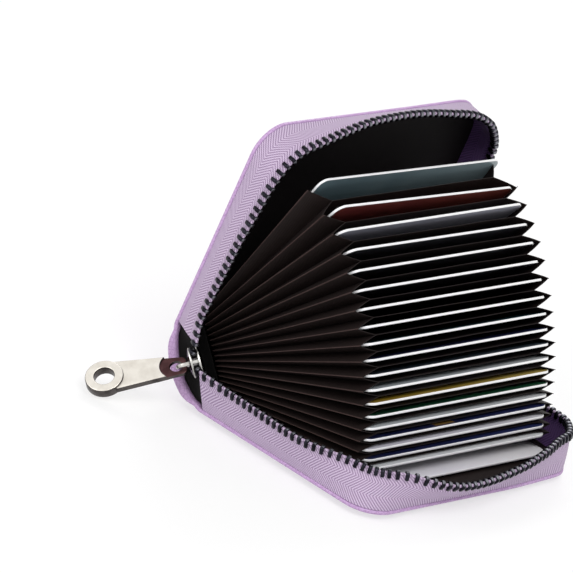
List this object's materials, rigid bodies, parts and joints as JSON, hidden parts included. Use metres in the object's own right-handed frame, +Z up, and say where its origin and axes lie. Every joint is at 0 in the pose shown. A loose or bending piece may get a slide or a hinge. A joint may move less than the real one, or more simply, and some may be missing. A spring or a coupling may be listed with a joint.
{
  "type": "zip card holder",
  "caption": "Zip-around card holder with padded leather covers, a pleated fan of pockets with cards, a toothed zip and a slider with a ring puller.",
  "frame": {"origin": "centre of the lower cover's flat padded underside, which the open holder rests on", "axes": "+X along the spine, -Y out of the mouth, +Z up from the face the holder lies on"},
  "size_m": [0.1309, 0.1075, 0.0986],
  "materials": {
    "leather": "pebble grain, satin",
    "foam_pad": "soft foam",
    "lining": "plain black lining",
    "zip_tape": "herringbone tape",
    "teeth": "dark gunmetal",
    "pleated_fabric": "dark pleated fabric",
    "nickel": "satin nickel",
    "card_teal": "satin plastic card",
    "card_maroon": "satin plastic card",
    "card_grey": "satin plastic card",
    "card_dark": "satin plastic card",
    "card_white": "satin plastic card",
    "card_gold": "satin plastic card",
    "card_green": "satin plastic card",
    "card_navy": "satin plastic card"
  },
  "bodies": {
    "lower_cover": {"lower_cover_leather": "leather", "lower_cover_pad": "foam_pad", "lower_cover_lining": "lining", "lower_zip_tape": "zip_tape", "lower_teeth_near": "teeth", "lower_teeth_far": "teeth"},
    "spine": {"spine_leather": "leather", "spine_lining": "lining", "near_bellows": "pleated_fabric", "far_bellows": "pleated_fabric"},
    "upper_cover": {"upper_cover_leather": "leather", "upper_cover_pad": "foam_pad", "upper_cover_lining": "lining", "upper_zip_tape": "zip_tape", "upper_teeth_near": "teeth", "upper_teeth_far": "teeth"},
    "lower_mouth_zip": {"lower_teeth_mouth": "teeth"},
    "upper_mouth_zip": {"upper_teeth_mouth": "teeth"},
    "slider": {"slider_body": "nickel"},
    "puller": {"puller": "nickel"},
    "pocket_01": {"pocket_01": "pleated_fabric"},
    "card_01": {"card_01": "card_teal"},
    "pocket_02": {"pocket_02": "pleated_fabric"},
    "card_02": {"card_02": "card_maroon"},
    "pocket_03": {"pocket_03": "pleated_fabric"},
    "card_03": {"card_03": "card_grey"},
    "pocket_04": {"pocket_04": "pleated_fabric"},
    "card_04": {"card_04": "card_dark"},
    "pocket_05": {"pocket_05": "pleated_fabric"},
    "card_05": {"card_05": "card_dark"},
    "pocket_06": {"pocket_06": "pleated_fabric"},
    "card_06": {"card_06": "card_dark"},
    "pocket_07": {"pocket_07": "pleated_fabric"},
    "card_07": {"card_07": "card_dark"},
    "pocket_08": {"pocket_08": "pleated_fabric"},
    "card_08": {"card_08": "card_dark"},
    "pocket_09": {"pocket_09": "pleated_fabric"},
    "card_09": {"card_09": "card_teal"},
    "pocket_10": {"pocket_10": "pleated_fabric"},
    "card_10": {"card_10": "card_navy"},
    "pocket_11": {"pocket_11": "pleated_fabric"},
    "card_11": {"card_11": "card_dark"},
    "pocket_12": {"pocket_12": "pleated_fabric"},
    "card_12": {"card_12": "card_white"},
    "pocket_13": {"pocket_13": "pleated_fabric"},
    "card_13": {"card_13": "card_gold"},
    "pocket_14": {"pocket_14": "pleated_fabric"},
    "card_14": {"card_14": "card_green"},
    "pocket_15": {"pocket_15": "pleated_fabric"},
    "card_15": {"card_15": "card_white"},
    "pocket_16": {"pocket_16": "pleated_fabric"},
    "card_16": {"card_16": "card_navy"},
    "pocket_17": {"pocket_17": "pleated_fabric"},
    "card_17": {"card_17": "card_white"},
    "pocket_18": {"pocket_18": "pleated_fabric"},
    "card_18": {"card_18": "card_navy"},
    "pocket_19": {"pocket_19": "pleated_fabric"},
    "card_19": {"card_19": "card_white"},
    "pocket_20": {"pocket_20": "pleated_fabric"},
    "card_20": {"card_20": "card_white"}
  },
  "joints": [
    {"name": "spine_fold", "type": "hinge", "parent": "lower_cover", "child": "spine", "pos_m": [0, 0.0358, 0.003], "axis": [-1, 0, 0], "range_deg": [-40, 1], "deforming": ["near_bellows", "far_bellows"]},
    {"name": "cover_fold", "type": "hinge", "parent": "spine", "child": "upper_cover", "pos_m": [0, 0.05277, 0.02322], "axis": [-1, 0, 0], "range_deg": [-40, 1]},
    {"name": "lower_flap_fold", "type": "hinge", "parent": "lower_cover", "child": "lower_mouth_zip", "pos_m": [0, -0.0364, 0.003], "axis": [1, 0, 0], "range_deg": [-32.01, 0.81], "deforming": ["lower_zip_tape"]},
    {"name": "upper_flap_fold", "type": "hinge", "parent": "upper_cover", "child": "upper_mouth_zip", "pos_m": [0, 0.04023, 0.09433], "axis": [-1, 0, 0], "range_deg": [-24.01, 0.61], "deforming": ["upper_zip_tape"]},
    {"name": "pocket_01_fold", "type": "hinge", "parent": "spine", "child": "pocket_01", "pos_m": [0, 0.04997, 0.02315], "axis": [-1, 0, 0], "range_deg": [-25.01, 0.64]},
    {"name": "pocket_02_fold", "type": "hinge", "parent": "spine", "child": "pocket_02", "pos_m": [0, 0.04915, 0.02218], "axis": [-1, 0, 0], "range_deg": [-17.58, 0.45]},
    {"name": "pocket_03_fold", "type": "hinge", "parent": "spine", "child": "pocket_03", "pos_m": [0, 0.04834, 0.02122], "axis": [-1, 0, 0], "range_deg": [-12.84, 0.34]},
    {"name": "pocket_04_fold", "type": "hinge", "parent": "spine", "child": "pocket_04", "pos_m": [0, 0.04754, 0.02025], "axis": [-1, 0, 0], "range_deg": [-8.31, 0.22]},
    {"name": "pocket_05_fold", "type": "hinge", "parent": "spine", "child": "pocket_05", "pos_m": [0, 0.04673, 0.01929], "axis": [-1, 0, 0], "range_deg": [-3.97, 0.11]},
    {"name": "pocket_06_fold", "type": "hinge", "parent": "spine", "child": "pocket_06", "pos_m": [0, 0.04592, 0.01832], "axis": [-1, 0, 0], "range_deg": [-0.02, 0.19]},
    {"name": "pocket_07_fold", "type": "hinge", "parent": "spine", "child": "pocket_07", "pos_m": [0, 0.04511, 0.01736], "axis": [-1, 0, 0], "range_deg": [-0.12, 4.13]},
    {"name": "pocket_08_fold", "type": "hinge", "parent": "spine", "child": "pocket_08", "pos_m": [0, 0.0443, 0.01639], "axis": [-1, 0, 0], "range_deg": [-0.21, 7.86]},
    {"name": "pocket_09_fold", "type": "hinge", "parent": "spine", "child": "pocket_09", "pos_m": [0, 0.04349, 0.01543], "axis": [-1, 0, 0], "range_deg": [-0.3, 11.39]},
    {"name": "pocket_10_fold", "type": "hinge", "parent": "spine", "child": "pocket_10", "pos_m": [0, 0.04268, 0.01446], "axis": [-1, 0, 0], "range_deg": [-0.38, 14.72]},
    {"name": "pocket_11_fold", "type": "hinge", "parent": "spine", "child": "pocket_11", "pos_m": [0, 0.04187, 0.0135], "axis": [-1, 0, 0], "range_deg": [-0.46, 17.86]},
    {"name": "pocket_12_fold", "type": "hinge", "parent": "spine", "child": "pocket_12", "pos_m": [0, 0.04106, 0.01253], "axis": [-1, 0, 0], "range_deg": [-0.53, 20.79]},
    {"name": "pocket_13_fold", "type": "hinge", "parent": "spine", "child": "pocket_13", "pos_m": [0, 0.04025, 0.01157], "axis": [-1, 0, 0], "range_deg": [-0.6, 23.52]},
    {"name": "pocket_14_fold", "type": "hinge", "parent": "spine", "child": "pocket_14", "pos_m": [0, 0.03959, 0.01047], "axis": [-1, 0, 0], "range_deg": [-0.67, 26.05]},
    {"name": "pocket_15_fold", "type": "hinge", "parent": "spine", "child": "pocket_15", "pos_m": [0, 0.03893, 0.00938], "axis": [-1, 0, 0], "range_deg": [-0.72, 28.38]},
    {"name": "pocket_16_fold", "type": "hinge", "parent": "spine", "child": "pocket_16", "pos_m": [0, 0.03828, 0.00829], "axis": [-1, 0, 0], "range_deg": [-0.78, 30.51]},
    {"name": "pocket_17_fold", "type": "hinge", "parent": "spine", "child": "pocket_17", "pos_m": [0, 0.03762, 0.00719], "axis": [-1, 0, 0], "range_deg": [-0.83, 32.43]},
    {"name": "pocket_18_fold", "type": "hinge", "parent": "spine", "child": "pocket_18", "pos_m": [0, 0.03696, 0.0061], "axis": [-1, 0, 0], "range_deg": [-0.87, 34.16]},
    {"name": "pocket_19_fold", "type": "hinge", "parent": "spine", "child": "pocket_19", "pos_m": [0, 0.03631, 0.005], "axis": [-1, 0, 0], "range_deg": [-0.91, 35.69]},
    {"name": "pocket_20_fold", "type": "hinge", "parent": "spine", "child": "pocket_20", "pos_m": [0, 0.03565, 0.00391], "axis": [-1, 0, 0], "range_deg": [-1, 39.61]},
    {"name": "card_01_slide", "type": "slide", "parent": "pocket_01", "child": "card_01", "axis": [0, -0.4226, 0.9063], "range_m": [0, 0.045]},
    {"name": "card_02_slide", "type": "slide", "parent": "pocket_02", "child": "card_02", "axis": [0, -0.5364, 0.844], "range_m": [0, 0.045]},
    {"name": "card_03_slide", "type": "slide", "parent": "pocket_03", "child": "card_03", "axis": [0, -0.6042, 0.7968], "range_m": [0, 0.045]},
    {"name": "card_04_slide", "type": "slide", "parent": "pocket_04", "child": "card_04", "axis": [0, -0.6653, 0.7465], "range_m": [0, 0.045]},
    {"name": "card_05_slide", "type": "slide", "parent": "pocket_05", "child": "card_05", "axis": [0, -0.7199, 0.6941], "range_m": [0, 0.045]},
    {"name": "card_06_slide", "type": "slide", "parent": "pocket_06", "child": "card_06", "axis": [0, -0.768, 0.6404], "range_m": [0, 0.045]},
    {"name": "card_07_slide", "type": "slide", "parent": "pocket_07", "child": "card_07", "axis": [0, -0.8102, 0.5862], "range_m": [0, 0.045]},
    {"name": "card_08_slide", "type": "slide", "parent": "pocket_08", "child": "card_08", "axis": [0, -0.8466, 0.5322], "range_m": [0, 0.045]},
    {"name": "card_09_slide", "type": "slide", "parent": "pocket_09", "child": "card_09", "axis": [0, -0.8778, 0.479], "range_m": [0, 0.045]},
    {"name": "card_10_slide", "type": "slide", "parent": "pocket_10", "child": "card_10", "axis": [0, -0.9042, 0.4272], "range_m": [0, 0.045]},
    {"name": "card_11_slide", "type": "slide", "parent": "pocket_11", "child": "card_11", "axis": [0, -0.9261, 0.3772], "range_m": [0, 0.045]},
    {"name": "card_12_slide", "type": "slide", "parent": "pocket_12", "child": "card_12", "axis": [0, -0.9442, 0.3293], "range_m": [0, 0.045]},
    {"name": "card_13_slide", "type": "slide", "parent": "pocket_13", "child": "card_13", "axis": [0, -0.9588, 0.284], "range_m": [0, 0.045]},
    {"name": "card_14_slide", "type": "slide", "parent": "pocket_14", "child": "card_14", "axis": [0, -0.9704, 0.2414], "range_m": [0, 0.045]},
    {"name": "card_15_slide", "type": "slide", "parent": "pocket_15", "child": "card_15", "axis": [0, -0.9794, 0.2017], "range_m": [0, 0.045]},
    {"name": "card_16_slide", "type": "slide", "parent": "pocket_16", "child": "card_16", "axis": [0, -0.9863, 0.1652], "range_m": [0, 0.045]},
    {"name": "card_17_slide", "type": "slide", "parent": "pocket_17", "child": "card_17", "axis": [0, -0.9913, 0.1319], "range_m": [0, 0.045]},
    {"name": "card_18_slide", "type": "slide", "parent": "pocket_18", "child": "card_18", "axis": [0, -0.9948, 0.102], "range_m": [0, 0.0165]},
    {"name": "card_19_slide", "type": "slide", "parent": "pocket_19", "child": "card_19", "axis": [0, -0.9972, 0.0754], "range_m": [0, 0.0133]},
    {"name": "card_20_slide", "type": "slide", "parent": "pocket_20", "child": "card_20", "axis": [0, -1, 0.007], "range_m": [0, 0.0078]},
    {"name": "slider_travel", "type": "slide", "parent": "spine", "child": "slider", "axis": [-0.7431, -0.5126, 0.4301], "range_m": [0, 0.003]},
    {"name": "puller_swing", "type": "hinge", "parent": "slider", "child": "puller", "pos_m": [-0.05651, 0.04181, 0.01519], "axis": [0, 0.6428, 0.766], "range_deg": [0, 33]}
  ],
  "couplings": [
    {"joint": "cover_fold", "follows": "spine_fold", "ratio": 1},
    {"joint": "lower_flap_fold", "follows": "spine_fold", "ratio": 0.8},
    {"joint": "upper_flap_fold", "follows": "spine_fold", "ratio": 0.6},
    {"joint": "pocket_01_fold", "follows": "spine_fold", "ratio": 0.625},
    {"joint": "pocket_02_fold", "follows": "spine_fold", "ratio": 0.43909},
    {"joint": "pocket_03_fold", "follows": "spine_fold", "ratio": 0.32069},
    {"joint": "pocket_04_fold", "follows": "spine_fold", "ratio": 0.2073},
    {"joint": "pocket_05_fold", "follows": "spine_fold", "ratio": 0.098927},
    {"joint": "pocket_06_fold", "follows": "spine_fold", "ratio": -0.004432},
    {"joint": "pocket_07_fold", "follows": "spine_fold", "ratio": -0.10278},
    {"joint": "pocket_08_fold", "follows": "spine_fold", "ratio": -0.19611},
    {"joint": "pocket_09_fold", "follows": "spine_fold", "ratio": -0.28442},
    {"joint": "pocket_10_fold", "follows": "spine_fold", "ratio": -0.36773},
    {"joint": "pocket_11_fold", "follows": "spine_fold", "ratio": -0.44602},
    {"joint": "pocket_12_fold", "follows": "spine_fold", "ratio": -0.51929},
    {"joint": "pocket_13_fold", "follows": "spine_fold", "ratio": -0.58756},
    {"joint": "pocket_14_fold", "follows": "spine_fold", "ratio": -0.6508},
    {"joint": "pocket_15_fold", "follows": "spine_fold", "ratio": -0.70904},
    {"joint": "pocket_16_fold", "follows": "spine_fold", "ratio": -0.76226},
    {"joint": "pocket_17_fold", "follows": "spine_fold", "ratio": -0.81046},
    {"joint": "pocket_18_fold", "follows": "spine_fold", "ratio": -0.85366},
    {"joint": "pocket_19_fold", "follows": "spine_fold", "ratio": -0.89184},
    {"joint": "pocket_20_fold", "follows": "spine_fold", "ratio": -0.99}
  ]
}
